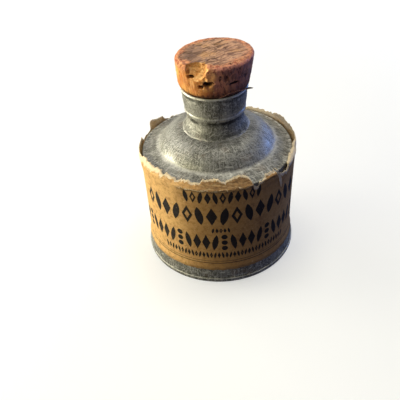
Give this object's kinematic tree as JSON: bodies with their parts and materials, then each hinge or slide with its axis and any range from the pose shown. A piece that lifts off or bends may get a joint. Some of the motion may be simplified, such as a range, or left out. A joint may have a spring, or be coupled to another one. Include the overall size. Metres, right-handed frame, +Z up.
{
  "type": "corked lubricant tin",
  "caption": "Small soldered tinplate oil can with a domed top, rolled foot and tapered neck closed by a cork, wrapped in a torn paper label.",
  "frame": {"origin": "on the can's axis, in the plane that its rolled foot stands on", "axes": "+Z up along the can's axis towards the cork, -Y towards the label's front, +X to the right of the label's front"},
  "size_m": [0.0576, 0.0576, 0.0804],
  "materials": {
    "tinplate_body": "aged dull tinplate, mottled and finely scratched",
    "tinplate_foot": "aged dull tinplate, brighter along the rolled edge",
    "tinplate_dome": "aged dull tinplate with fine swirling scratches",
    "tinplate_neck": "aged dull tinplate, darker, with a brighter rolled lip",
    "solder": "dull tin-lead solder, slightly lumpy",
    "label_paper": "aged brown kraft paper printed with dark ink, torn along its top",
    "cork": "natural cork, stained darker on top, pitted and chipped"
  },
  "bodies": {
    "can": {"body_wall": "tinplate_body", "side_seam_solder": "solder", "bottom_end": "tinplate_foot", "bottom_solder": "solder", "shoulder": "tinplate_dome", "shoulder_solder": "solder", "neck_base": "tinplate_neck", "neck_solder": "solder", "neck_collar": "tinplate_neck", "paper_label": "label_paper"},
    "stopper": {"cork": "cork"}
  },
  "joints": [
    {"name": "cork_pull", "type": "slide", "parent": "can", "child": "stopper", "axis": [0, 0, 1], "range_m": [0, 0.02]}
  ]
}
